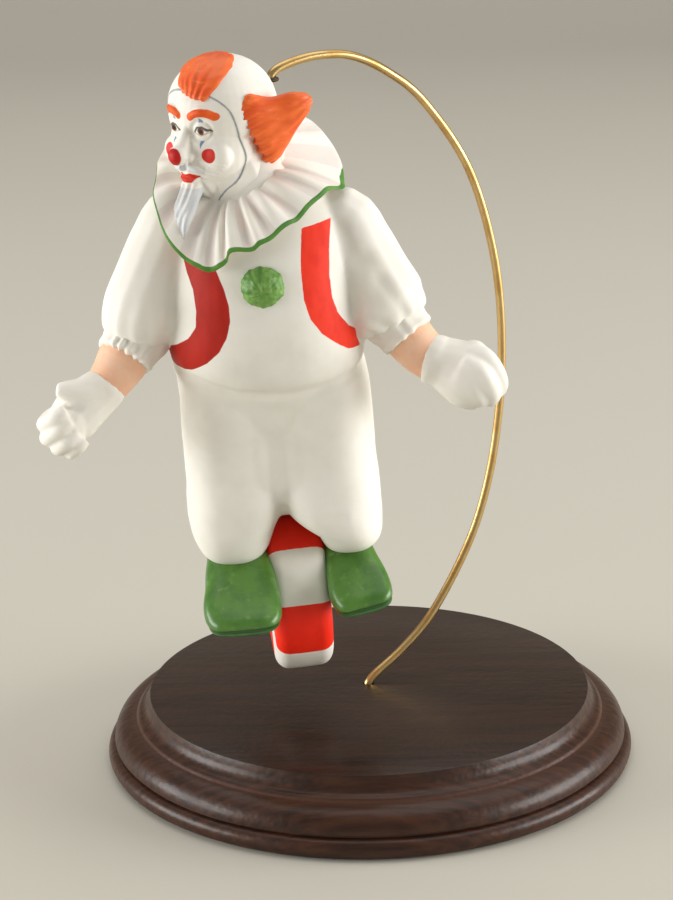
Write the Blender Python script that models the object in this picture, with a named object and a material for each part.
"""Porcelain clown on a wheel, hung from a bent brass rod over a turned wood base.

Metres, +Z up. The origin is the centre of the base's underside and the front faces -Y.
"""

import math

import bmesh
import bpy
from mathutils import Matrix, Vector

# Turned base
BASE_DIAMETER = 0.140
BASE_HEIGHT = 0.018
BASE_TOP_DIAMETER = 0.1174
BASE_COVE_DIAMETER = 0.1236
BASE_COVE_DEPTH = 0.0058
BASE_ARRIS = 0.0005
BASE_BEAD_HEIGHT = 0.0054
BASE_GROOVE = 0.0009
BASE_SIDES = 60

# Bent rod
ROD_DIAMETER = 0.0022
ROD_BULGE = 0.0423
ROD_CROWN = 0.0046
ROD_SOCKET_DEPTH = 0.0120
ROD_SIDES = 8

# Casting: its height from the wheel's tread to the crown, its place over the base and its lean
FIGURE_HEIGHT = 0.160
WHEEL_CLEARANCE = 0.0125
FIGURE_OFFSET_X = -0.018
FIGURE_OFFSET_Y = -0.012
LEAN_FORWARD = math.radians(6.0)
LEAN_SIDE = math.radians(3.0)
HEAD_TURN = math.radians(-40.0)
HEAD_NOD = math.radians(-2.0)
WHEEL_TURN = math.radians(7.0)
RUFF_TURN = math.radians(-24.0)
RUFF_TIP = math.radians(40.0)
CASTING_FACES_KEPT = 0.072

# Screw eye
EYE_WIRE = 0.0010
EYE_SHANK = 0.0030
EYE_SIDES = 8
EYE_STEPS = 24
FIT_GAP = 0.0003
ROD_PLAY = 0.0004

# The casting's own unit, a 160th of its height: its pose and proportions are counted in it
U = FIGURE_HEIGHT / 160.0
VOXEL = 1.0 * U
EVENINGS = 5
RING_POINTS = 40
LIMB_POINTS = 20

HEAD_CENTRE = Vector((-7.0, 0.5, 146.0))
EYE_PLACE = Vector((4.4, 15.9, 150.7))
WHEEL_RADIUS = 20.6
WHEEL_CENTRE = Vector((0.8, 0.0, WHEEL_RADIUS))
WHEEL_WIDTH = 14.8
WHEEL_ROUNDING = 3.6
WHEEL_HUB = 0.5
RIGHT_SHOE_ROLL = math.radians(-8.0)
RUFF_NECK = Vector((-5.4, -1.0, 133.6))
RUFF_NECK_RADIUS = 8.0
RUFF_DOME = 2.6
RUFF_WAVE = 0.9
RUFF_FLUTES = 14
SKULL_MIDDLE = Vector((0.0, 1.2, 3.0))
SKULL_RADII = Vector((12.7, 14.2, 12.6))
FORELOCK_STRANDS = 7

# The ruff's rim, point by point from the figure's right round its front
RUFF_RIM = [
    (-23.3, -3.0, 135.0), (-24.3, -8.0, 132.1), (-23.6, -12.5, 128.5), (-22.6, -15.5, 125.0),
    (-20.7, -17.5, 121.3), (-18.1, -18.8, 118.3), (-15.2, -19.6, 116.1), (-12.9, -20.2, 115.0),
    (-10.5, -20.6, 115.1), (-8.8, -20.8, 115.8), (-7.7, -21.0, 117.3), (-6.3, -21.2, 119.2),
    (-1.8, -21.4, 119.7), (1.1, -21.0, 120.6), (4.3, -20.0, 122.5), (7.9, -18.0, 124.2),
    (10.4, -16.0, 125.1), (13.3, -13.5, 127.1), (15.8, -11.0, 128.6), (18.2, -8.0, 129.0),
    (21.0, -3.0, 127.9), (21.3, 0.0, 128.2), (20.8, 7.0, 130.4), (19.5, 11.0, 133.1),
    (17.7, 13.5, 135.6), (15.5, 15.5, 138.2), (12.7, 17.0, 140.0), (6.0, 20.0, 142.5),
    (-3.0, 21.5, 143.0), (-12.0, 18.5, 141.5), (-19.0, 12.0, 139.0), (-23.0, 4.5, 136.5),
]

# Gloves: rows of x, y, z and radius for each form
RIGHT_GLOVE = [
    [(-38.2, -14.2, 88.0, 5.2), (-39.6, -14.8, 86.6, 5.9), (-40.8, -15.0, 85.8, 5.7), (-43.6, -16.5, 83.5, 6.0),
     (-46.7, -18.0, 81.2, 6.4), (-49.0, -19.5, 78.6, 6.2), (-50.4, -20.5, 76.7, 4.8)],
    [(-42.1, -17.0, 86.0, 4.6), (-45.7, -19.5, 86.2, 3.9), (-49.0, -21.0, 87.6, 2.6), (-51.3, -21.5, 88.3, 1.6)],
    [(-53.7, -17.5, 79.9, 2.1), (-55.3, -20.0, 79.0, 2.1), (-54.0, -23.0, 80.4, 2.1), (-51.4, -25.0, 82.6, 2.1),
     (-49.1, -24.6, 83.8, 1.8)],
    [(-53.4, -17.5, 76.5, 2.1), (-55.0, -20.0, 75.5, 2.1), (-53.7, -23.4, 77.1, 2.1), (-50.8, -25.4, 79.6, 2.1),
     (-48.2, -24.8, 81.0, 1.8)],
    [(-51.3, -17.8, 73.5, 2.1), (-52.6, -20.3, 72.8, 2.1), (-51.5, -23.6, 74.4, 2.1), (-49.2, -25.2, 76.5, 2.1),
     (-47.2, -24.4, 77.9, 1.8)],
    [(-48.7, -18.0, 71.8, 1.9), (-49.5, -20.4, 71.3, 1.9), (-48.9, -23.2, 72.7, 1.9), (-47.1, -24.6, 74.5, 1.9),
     (-45.6, -23.8, 75.7, 1.6)],
]
LEFT_GLOVE = [
    [(38.0, -11.2, 86.2, 6.0), (39.4, -11.5, 85.5, 6.6), (40.8, -11.8, 84.8, 6.3), (42.7, -12.0, 84.1, 6.8),
     (45.7, -12.5, 82.8, 7.4), (48.6, -13.0, 81.5, 7.6), (51.1, -13.5, 79.9, 6.8), (52.8, -13.5, 78.7, 4.8)],
    [(47.7, -12.5, 87.1, 2.6), (49.7, -13.0, 88.3, 2.4), (51.2, -13.5, 86.2, 2.6)],
    [(48.6, -15.0, 88.0, 2.5), (51.8, -16.5, 86.5, 2.8), (54.0, -17.3, 83.5, 2.8), (55.2, -17.0, 80.2, 2.4),
     (54.8, -15.5, 77.3, 1.9)],
    [(47.4, -18.0, 86.6, 2.4), (50.1, -19.6, 84.7, 2.8), (52.3, -19.8, 81.3, 2.8), (53.2, -18.6, 77.9, 2.4),
     (52.5, -16.5, 75.5, 1.9)],
    [(45.8, -18.4, 84.6, 2.2), (48.0, -19.8, 81.9, 2.6), (49.8, -19.6, 78.8, 2.6), (50.7, -18.0, 76.0, 2.1)],
    [(44.3, -17.4, 82.2, 2.2), (46.0, -18.4, 79.9, 2.4), (47.9, -18.0, 77.5, 2.2), (48.8, -16.6, 75.8, 1.8)],
]


def clear_scene():
    for thing in list(bpy.data.objects):
        bpy.data.objects.remove(thing, do_unlink=True)


def material(name, colour, roughness, metallic=0.0):
    made = bpy.data.materials.new(name)
    made.use_nodes = True
    shader = made.node_tree.nodes["Principled BSDF"]
    shader.inputs["Base Color"].default_value = (*colour, 1.0)
    shader.inputs["Roughness"].default_value = roughness
    shader.inputs["Metallic"].default_value = metallic
    return made


def add_object(name, bm, skin):
    """Turns a bmesh into a named object with one material."""
    bmesh.ops.recalc_face_normals(bm, faces=bm.faces)
    mesh = bpy.data.meshes.new(name)
    bm.to_mesh(mesh)
    bm.free()
    mesh.materials.append(skin)
    made = bpy.data.objects.new(name, mesh)
    bpy.context.scene.collection.objects.link(made)
    return made


def eased_between(rows, step, steps):
    """One row a share of the way between the middle two of four."""
    t = step / steps
    return tuple(
        0.5 * (2 * b + (c - a) * t + (2 * a - 5 * b + 4 * c - d) * t**2 + (3 * b - a - 3 * c + d) * t**3)
        for a, b, c, d in zip(*rows)
    )


def eased(rows, steps):
    """Rows of numbers, with steps more rows eased in between each pair."""
    out = []
    last = len(rows) - 1
    for i in range(last):
        near = rows[max(i - 1, 0)], rows[i], rows[i + 1], rows[min(i + 2, last)]
        out += [eased_between(near, step, steps) for step in range(steps)]
    out.append(tuple(rows[last]))
    return out


def eased_loop(rows, steps):
    """The same round a closed loop."""
    out = []
    count = len(rows)
    for i in range(count):
        near = rows[i - 1], rows[i], rows[(i + 1) % count], rows[(i + 2) % count]
        out += [eased_between(near, step, steps) for step in range(steps)]
    return out


def skin_rings(bm, rings):
    """A closed skin through rings that have the same number of points."""
    loops = [[bm.verts.new(point) for point in ring] for ring in rings]
    count = len(loops[0])
    for low, high in zip(loops, loops[1:]):
        for i in range(count):
            j = (i + 1) % count
            bm.faces.new((low[i], low[j], high[j], high[i]))
    bm.faces.new(loops[0][::-1])
    bm.faces.new(loops[-1])


def circle(points=RING_POINTS):
    return [math.tau * i / points for i in range(points)]


def superellipse(angle, power):
    """A point of a rounded square of half size 1: power 2 is a circle, more is squarer."""
    share = 2.0 / power
    across = math.copysign(abs(math.cos(angle)) ** share, math.cos(angle))
    up = math.copysign(abs(math.sin(angle)) ** share, math.sin(angle))
    return across, up


def stack(bm, rows, power=2.0, place=Matrix.Identity(4)):
    """Upright form through rows of height, centre x, centre y, half width and half depth."""
    rings = []
    for height, cx, cy, half_width, half_depth in eased(rows, 4):
        ring = []
        for angle in circle():
            across, deep = superellipse(angle, power)
            at = Vector((cx + half_width * across, cy + half_depth * deep, height))
            ring.append((place @ at) * U)
        rings.append(ring)
    skin_rings(bm, rings)


def limb(bm, rows, place=Matrix.Identity(4)):
    """Round form along a path: rows of x, y, z and radius."""
    stations = eased(rows, 5)
    rings = []
    for i, (x, y, z, radius) in enumerate(stations):
        ahead = Vector(stations[min(i + 1, len(stations) - 1)][:3])
        behind = Vector(stations[max(i - 1, 0)][:3])
        turn = (ahead - behind).to_track_quat("Z", "Y")
        centre = Vector((x, y, z))
        rings.append([
            (place @ (centre + turn @ Vector((radius * math.cos(a), radius * math.sin(a), 0.0)))) * U
            for a in circle(LIMB_POINTS)
        ])
    skin_rings(bm, rings)


def ball(bm, centre, radii, place=Matrix.Identity(4)):
    whole = Matrix.Scale(U, 4) @ place @ Matrix.Translation(centre) @ Matrix.Diagonal((*radii, 1.0))
    bmesh.ops.create_uvsphere(bm, u_segments=32, v_segments=20, radius=1.0, matrix=whole)


def turned(bm, profile, sides, place=Matrix.Identity(4)):
    """Solid of revolution about Z through rows of radius and height, bottom to top."""
    rings = [
        [place @ Vector((radius * math.cos(a), radius * math.sin(a), height)) for a in circle(sides)]
        for radius, height in profile
    ]
    skin_rings(bm, rings)


def quarter_round(centre_radius, centre_height, width, height, start, end, steps=8):
    """Points of an elliptical arc of a turned profile, angles in degrees from outward, upward."""
    arc = []
    for step in range(steps + 1):
        angle = math.radians(start + (end - start) * step / steps)
        arc.append((centre_radius + width * math.cos(angle), centre_height + height * math.sin(angle)))
    return arc


def base_profile():
    """Outer edge from the underside to the flat top: bead, groove, big round, arris and cove."""
    outer = BASE_DIAMETER / 2
    cove = BASE_COVE_DIAMETER / 2
    top = BASE_TOP_DIAMETER / 2
    bead = BASE_BEAD_HEIGHT / 2
    round_outer = outer - BASE_GROOVE * 2
    round_foot = BASE_BEAD_HEIGHT + BASE_GROOVE
    arris = BASE_HEIGHT - BASE_COVE_DEPTH
    cove_top = BASE_HEIGHT - BASE_ARRIS
    cove_drop = arris + BASE_ARRIS - cove_top
    profile = quarter_round(outer - bead, bead, bead, bead, -90, 60, 4)
    profile.append((round_outer - BASE_GROOVE, BASE_BEAD_HEIGHT))
    profile += quarter_round(cove, round_foot, round_outer - cove, arris - round_foot, 0, 86, 5)
    profile.append((cove, arris + BASE_ARRIS))
    profile += quarter_round(cove, cove_top, top - cove, cove_drop, 80, 10, 3)
    profile.append((top - BASE_ARRIS, BASE_HEIGHT))
    return profile


def make_base(skin):
    hole = ROD_DIAMETER / 2 + FIT_GAP
    floor = BASE_HEIGHT - ROD_SOCKET_DEPTH
    profile = base_profile() + [(hole, BASE_HEIGHT), (hole, floor)]
    bm = bmesh.new()
    turned(bm, profile, BASE_SIDES)
    return add_object("wood_base", bm, skin)


def figure_place():
    """Where the casting's own frame, origin under the wheel's tread, stands over the base."""
    foot = Vector((FIGURE_OFFSET_X, FIGURE_OFFSET_Y, BASE_HEIGHT + WHEEL_CLEARANCE))
    lean = Matrix.Rotation(-LEAN_SIDE, 4, "Y") @ Matrix.Rotation(LEAN_FORWARD, 4, "X")
    return Matrix.Translation(foot) @ lean


def head_place():
    """The head's own frame in casting units, its face to -Y."""
    turn = Matrix.Rotation(HEAD_TURN, 4, "Z") @ Matrix.Rotation(HEAD_NOD, 4, "X")
    return Matrix.Translation(HEAD_CENTRE) @ turn


def eye_centre():
    return figure_place() @ (EYE_PLACE * U)


def rod_path():
    """The rod's middle line: up out of its socket, out to the bulge, over the crown and down."""
    hook = eye_centre()
    away = Vector((hook.x, hook.y, 0.0))
    reach = away.length
    outward = -away.normalized()
    rise = hook.z - BASE_HEIGHT
    bulge = [
        (0.02, 0.008), (0.24, 0.045), (0.46, 0.095), (0.70, 0.185), (0.85, 0.270), (0.955, 0.383),
        (1.0, 0.523), (0.95, 0.674), (0.768, 0.825), (0.459, 0.939), (0.21, 0.992),
    ]
    crown = [(-0.06, 0.80), (-0.46, 1.0), (-0.80, 0.70), (-0.965, 0.25)]
    route = [(0.0, FIT_GAP - ROD_SOCKET_DEPTH), (0.0, -ROD_DIAMETER)]
    route += [(ROD_BULGE * out, rise * up) for out, up in bulge]
    route += [(reach * out, rise + ROD_CROWN * up) for out, up in crown]
    route += [(-reach, rise - ROD_DIAMETER), (-reach, rise - ROD_DIAMETER * 2)]
    return [outward * out + Vector((0.0, 0.0, BASE_HEIGHT + up)) for out, up in eased(route, 3)]


def make_rod(skin):
    """A poly curve with a round bevel and filled ends."""
    path = rod_path()
    curve = bpy.data.curves.new("brass_rod", "CURVE")
    curve.dimensions = "3D"
    curve.bevel_depth = ROD_DIAMETER / 2
    curve.bevel_resolution = (ROD_SIDES - 4) // 2
    curve.use_fill_caps = True
    spline = curve.splines.new("POLY")
    spline.points.add(len(path) - 1)
    for point, place in zip(spline.points, path):
        point.co = (*place, 1.0)
    curve.materials.append(skin)
    made = bpy.data.objects.new("brass_rod", curve)
    bpy.context.scene.collection.objects.link(made)
    return made


def eye_radius():
    """Middle line of the ring, which leaves the rod some play."""
    return ROD_DIAMETER / 2 + ROD_PLAY + EYE_WIRE / 2


def eye_place():
    """The ring's frame: its hole upright, its shank along +X into the head."""
    centre = eye_centre()
    head = figure_place() @ (HEAD_CENTRE * U)
    inward = Vector((head.x - centre.x, head.y - centre.y, 0.0)).normalized()
    side = Vector((0.0, 0.0, 1.0)).cross(inward)
    frame = Matrix((inward, side, Vector((0.0, 0.0, 1.0)))).transposed().to_4x4()
    return Matrix.Translation(centre) @ frame


def shank_place():
    """The same frame with its own Z along the shank."""
    return eye_place() @ Matrix.Rotation(math.pi / 2, 4, "Y")


def hide_cutter(made):
    made.hide_render = True
    made.display_type = "WIRE"
    return made


def make_eye(skin):
    """A ring of wire with a shank, one solid."""
    bm = bmesh.new()
    place = eye_place()
    wire = EYE_WIRE / 2
    middle = eye_radius()
    loops = []
    for around in circle(EYE_STEPS):
        loops.append([
            bm.verts.new(place @ Vector((
                (middle + wire * math.cos(a)) * math.cos(around),
                (middle + wire * math.cos(a)) * math.sin(around),
                wire * math.sin(a),
            )))
            for a in circle(EYE_SIDES)
        ])
    for i in range(EYE_STEPS):
        low, high = loops[i], loops[(i + 1) % EYE_STEPS]
        for j in range(EYE_SIDES):
            k = (j + 1) % EYE_SIDES
            bm.faces.new((low[j], low[k], high[k], high[j]))
    ring = add_object("hanging_eye", bm, skin)
    shank = bmesh.new()
    turned(shank, [(wire, middle), (wire, middle + wire + EYE_SHANK)], EYE_SIDES + 4, shank_place())
    union = ring.modifiers.new("shank", "BOOLEAN")
    union.operation = "UNION"
    union.object = hide_cutter(add_object("eye_shank", shank, skin))
    return ring


def add_wheel(bm):
    """A thick wheel with rounded rims, its axle across the figure."""
    half = WHEEL_WIDTH / 2
    soft = WHEEL_ROUNDING
    profile = [(WHEEL_HUB, -half)]
    profile += quarter_round(WHEEL_RADIUS - soft, soft - half, soft, soft, -90, 0, 6)
    profile += quarter_round(WHEEL_RADIUS - soft, half - soft, soft, soft, 0, 90, 6)
    profile.append((WHEEL_HUB, half))
    aim = Matrix.Rotation(WHEEL_TURN, 4, "Z") @ Matrix.Rotation(math.pi / 2, 4, "Y")
    place = Matrix.Translation(WHEEL_CENTRE) @ aim
    turned(bm, [(radius * U, height * U) for radius, height in profile], 64,
           Matrix.Scale(U, 4) @ place @ Matrix.Scale(1.0 / U, 4))


def add_body(bm):
    """Torso with a belly that hangs a little over the trouser tops."""
    stack(bm, [
        (42, 0.0, 4.0, 6.0, 5.5),
        (45, 0.0, 1.8, 9.0, 9.8),
        (48.5, 0.0, 0.0, 13.0, 13.4),
        (54, -0.3, -0.9, 18.0, 14.6),
        (64, -0.5, 0.0, 21.5, 16.0),
        (74, -0.8, 0.3, 22.8, 18.2),
        (82.5, -0.9, -0.4, 23.2, 19.6),
        (86, -0.9, -1.3, 23.8, 20.8),
        (94, -0.8, -1.8, 24.2, 22.0),
        (103, -0.6, -1.5, 23.6, 21.4),
        (112, -0.4, -0.5, 22.6, 19.6),
        (119, 0.0, 0.5, 21.0, 17.2),
        (125, 0.0, 1.0, 18.0, 14.4),
        (131, -1.0, 1.0, 12.5, 11.5),
        (138, -3.5, 0.5, 9.0, 9.0),
    ], 2.25)


def add_legs(bm):
    """Baggy trouser legs, bloused over the shoes and cut away over the wheel."""
    for side, hem_rows in (
        (-1, [(46.5, 12.3, -2.8, 12.1, 17.0), (43, 13.1, -3.0, 11.0, 16.8), (40, 13.3, -3.1, 10.0, 16.2),
              (37.5, 13.2, -3.3, 8.9, 14.8), (35.5, 13.1, -3.4, 7.2, 12.2), (34, 13.1, -3.4, 4.8, 8.4)]),
        (1, [(47, 12.3, -2.8, 12.1, 17.0), (44, 13.9, -3.0, 10.7, 16.8), (41.2, 15.7, -3.1, 8.8, 15.8),
             (38.5, 16.2, -3.3, 8.0, 13.8), (36.4, 15.9, -3.4, 6.8, 11.2), (34.8, 15.7, -3.4, 4.6, 7.8)]),
    ):
        rows = [(90, 9.4, 0.4, 10.6, 14.0), (84, 10.3, 0.2, 12.1, 16.8), (76, 11.0, -0.2, 12.7, 17.4),
                (66, 11.4, -0.6, 12.6, 16.6), (57, 11.5, -1.4, 12.5, 16.2), (51, 11.8, -2.4, 12.5, 16.8)]
        stack(bm, [(z, side * x, y, wide, deep) for z, x, y, wide, deep in rows + hem_rows], 2.5)


def add_shoe(bm, heel, toe, sole, roll):
    """Broad shoe, narrow under the hem and sloping to a wide round toe.

    heel and toe are each x, y and width; the sections run between them, square to their line.
    """
    sections = [
        (0.00, 0.50, 3.0, 9.0),
        (0.05, 0.76, 0.6, 12.0),
        (0.20, 0.96, 0.0, 15.5),
        (0.42, 1.00, 0.0, 15.4),
        (0.62, 1.00, 0.0, 12.6),
        (0.80, 1.00, 0.0, 9.4),
        (0.92, 0.88, 0.3, 6.8),
        (0.985, 0.66, 1.2, 5.2),
        (1.0, 0.40, 2.0, 4.2),
    ]
    splay = math.atan2(toe[0] - heel[0], heel[1] - toe[1])
    aim = Matrix.Rotation(splay, 3, "Z") @ Matrix.Rotation(roll, 3, "Y")
    rings = []
    for along, wide, low, high in eased(sections, 4):
        x, y, width = Vector(heel).lerp(Vector(toe), along)
        ring = []
        for angle in circle(28):
            across, up = superellipse(angle, 2.9)
            out = Vector((across * wide * width / 2, 0.0, (low + high) / 2 + up * (high - low) / 2))
            ring.append((Vector((x, y, sole)) + aim @ out) * U)
        rings.append(ring)
    skin_rings(bm, rings)


def add_arms(bm):
    """Puffed sleeves, gathered cuffs, bare forearms and gloves."""
    for side, sleeve, cuff in (
        (-1, [(12, 1.0, 119, 8.0), (19.4, 0.0, 122, 8.4), (22.5, -1.6, 117, 9.4), (26.4, -4.4, 109, 9.9),
              (30.0, -7.2, 100.8, 10.2), (32.8, -9.6, 95.4, 9.2), (34.2, -10.8, 93.2, 7.4)],
         [(33.9, -10.6, 94.0, 6.8), (34.8, -11.6, 92.6, 7.0), (35.7, -12.4, 91.0, 7.3), (36.0, -12.8, 90.3, 6.8)]),
        (1, [(12, 1.0, 117, 8.0), (19.6, 0.0, 118.8, 8.4), (22.4, -1.4, 112.8, 9.6), (25.2, -3.4, 104.6, 10.7),
             (28.6, -6.0, 97.2, 10.4), (31.6, -8.2, 92.8, 8.6), (33.0, -9.2, 91.0, 7.2)],
         [(32.4, -8.8, 91.8, 6.8), (33.4, -9.5, 90.4, 7.0), (34.4, -10.1, 89.0, 7.3), (34.8, -10.3, 88.4, 6.6)]),
    ):
        limb(bm, [(side * x, y, z, radius) for x, y, z, radius in sleeve])
        limb(bm, [(side * x, y, z, radius) for x, y, z, radius in cuff])
    limb(bm, [(-34.5, -11.0, 93.0, 5.6), (-37.2, -13.2, 89.4, 5.6), (-40.2, -15.0, 86.0, 5.3)])
    limb(bm, [(33.0, -9.2, 90.8, 6.1), (36.0, -10.8, 87.4, 6.1), (39.6, -11.6, 85.2, 5.8)])
    for form in RIGHT_GLOVE + LEFT_GLOVE:
        limb(bm, form)


def add_ruff(bm):
    """Fluted collar, a domed sheet from the neck to a wavy rim."""
    tilt = Matrix.Rotation(RUFF_TURN, 4, "Z") @ Matrix.Rotation(RUFF_TIP, 4, "X")
    above = tilt @ Vector((0.0, 0.0, 1.0))
    rim = [Vector(point) for point in eased_loop(RUFF_RIM, 4)]
    layers = [(0.15, -3.0), (0.5, -2.0), (0.8, -1.3), (0.96, -1.0), (1.0, -0.4), (1.0, 0.4), (0.96, 1.0),
              (0.8, 1.1), (0.5, 1.4), (0.3, 2.0), (0.15, 2.6)]
    rings = []
    for share, lift in layers:
        ring = []
        for i, outer in enumerate(rim):
            angle = math.tau * i / len(rim)
            away = tilt.inverted() @ (outer - RUFF_NECK)
            heading = Vector((away.x, away.y, 0.0)).normalized()
            neck = RUFF_NECK + tilt @ (heading * RUFF_NECK_RADIUS * share)
            wave = RUFF_WAVE * math.cos(RUFF_FLUTES * angle) * share
            dome = RUFF_DOME * math.sin(math.pi * share)
            ring.append((neck.lerp(outer, share) + above * (dome + wave + lift)) * U)
        rings.append(ring)
    skin_rings(bm, rings)


def add_head(bm):
    """Cap and jaw as one oval, with brows, nose, cheeks, moustache and beard in low relief."""
    place = head_place()
    ball(bm, SKULL_MIDDLE, SKULL_RADII, place)
    ball(bm, (0, -2.4, -5.5), (11.0, 11.2, 11.6), place)
    ball(bm, (0, -13.0, -2.4), (1.8, 2.4, 4.4), place)
    ball(bm, (0, -15.6, -5.4), (2.5, 2.4, 2.4), place)
    for side in (-1, 1):
        ball(bm, (side * 5.2, -9.6, -6.0), (4.0, 3.3, 3.5), place)
        ball(bm, (side * 4.6, -11.4, 4.2), (3.6, 1.7, 1.2), place)
        ball(bm, (side * 3.2, -12.2, -9.2), (3.6, 1.7, 1.4), place)
    ball(bm, (0, -8.2, -12.0), (5.2, 4.2, 5.0), place)
    ball(bm, (0, -11.0, -17.5), (2.5, 2.2, 5.2), place)


def skull_top(x, y):
    """Height of the cap over a point of the head's frame."""
    across = (x - SKULL_MIDDLE.x) / SKULL_RADII.x
    back = (y - SKULL_MIDDLE.y) / SKULL_RADII.y
    return SKULL_MIDDLE.z + SKULL_RADII.z * math.sqrt(max(0.0, 1.0 - across**2 - back**2))


def add_forelock(bm):
    """Carved lock of hair from the crown to a point on the forehead."""
    place = head_place()
    for strand in range(FORELOCK_STRANDS):
        t = 2.0 * strand / (FORELOCK_STRANDS - 1) - 1.0
        crown = (0.4 + 6.2 * t, 3.0)
        middle = (1.2 + 5.2 * t, -6.0)
        end = Vector((-2.2, -11.6, 9.2)).lerp(Vector((4.6, -11.8, 7.3)), (t + 1.0) / 2)
        limb(bm, [
            (*crown, skull_top(*crown) - 0.4, 1.2),
            (*middle, skull_top(*middle) - 0.3, 1.4),
            (*end, 0.7),
        ], place)


def add_tuft(bm, side):
    """Fan of side hair from a tall root on the temple to a raised tip behind."""
    top = Vector((side * 11.2, -3.8, 7.0))
    low = Vector((side * 12.4, 0.4, -9.6))
    tip = Vector((side * 19.6, 10.6, 5.1))
    root = (top + low) / 2
    tall = (top - low).normalized()
    along = (tip - root).normalized()
    thick = tall.cross(along).normalized()
    place = head_place() @ Matrix.Translation(root) @ Matrix((tall, thick, along)).transposed().to_4x4()
    height = (top - low).length / 2
    reach = (tip - root).length
    stack(bm, [
        (-1.6, 0.0, 0.0, height * 0.70, 1.6),
        (0.0, 0.0, 0.0, height, 2.3),
        (reach * 0.30, 0.0, 0.0, height * 0.80, 2.4),
        (reach * 0.60, 0.0, 0.0, height * 0.52, 2.1),
        (reach * 0.90, 0.0, 0.0, height * 0.24, 1.5),
        (reach, 0.0, 0.0, height * 0.08, 0.8),
    ], 2.2, place)


def drill_for_eye(casting):
    """A blind hole in the back of the head, a gap wider than the shank."""
    bm = bmesh.new()
    start = eye_radius() + EYE_WIRE / 2 - FIT_GAP
    bore = EYE_WIRE / 2 + FIT_GAP
    turned(bm, [(bore, start), (bore, start + EYE_SHANK + FIT_GAP * 2)], EYE_SIDES * 2, shank_place())
    cut = casting.modifiers.new("eye hole", "BOOLEAN")
    cut.operation = "DIFFERENCE"
    cut.object = hide_cutter(add_object("eye_drill", bm, casting.data.materials[0]))


def make_casting(skin):
    """Every form of the figure run together, evened out and thinned to a light mesh."""
    bm = bmesh.new()
    add_wheel(bm)
    add_body(bm)
    add_legs(bm)
    add_shoe(bm, (-13.6, 7.0, 14.0), (-10.9, -33.5, 20.8), 23.4, 0.0)
    add_shoe(bm, (13.4, 9.0, 9.0), (19.6, -26.0, 17.4), 23.6, RIGHT_SHOE_ROLL)
    add_arms(bm)
    add_ruff(bm)
    add_head(bm)
    add_forelock(bm)
    add_tuft(bm, -1)
    add_tuft(bm, 1)
    ball(bm, (0.3, -19.4, 110.8), (5.8, 4.6, 5.6))
    made = add_object("clown_figurine", bm, skin)
    made.matrix_world = figure_place()
    fuse = made.modifiers.new("fuse", "REMESH")
    fuse.mode = "VOXEL"
    fuse.voxel_size = VOXEL
    soften = made.modifiers.new("soften", "SMOOTH")
    soften.factor = 0.5
    soften.iterations = EVENINGS
    thin = made.modifiers.new("thin", "DECIMATE")
    thin.ratio = CASTING_FACES_KEPT
    drill_for_eye(made)
    return made


def main():
    clear_scene()
    wood = material("dark stained wood", (0.045, 0.028, 0.020), 0.38)
    brass = material("polished brass", (0.80, 0.58, 0.22), 0.22, 1.0)
    iron = material("dark iron wire", (0.06, 0.055, 0.05), 0.5, 1.0)
    bisque = material("bisque porcelain", (0.83, 0.82, 0.78), 0.75)
    make_base(wood)
    make_rod(brass)
    make_eye(iron)
    make_casting(bisque)


main()
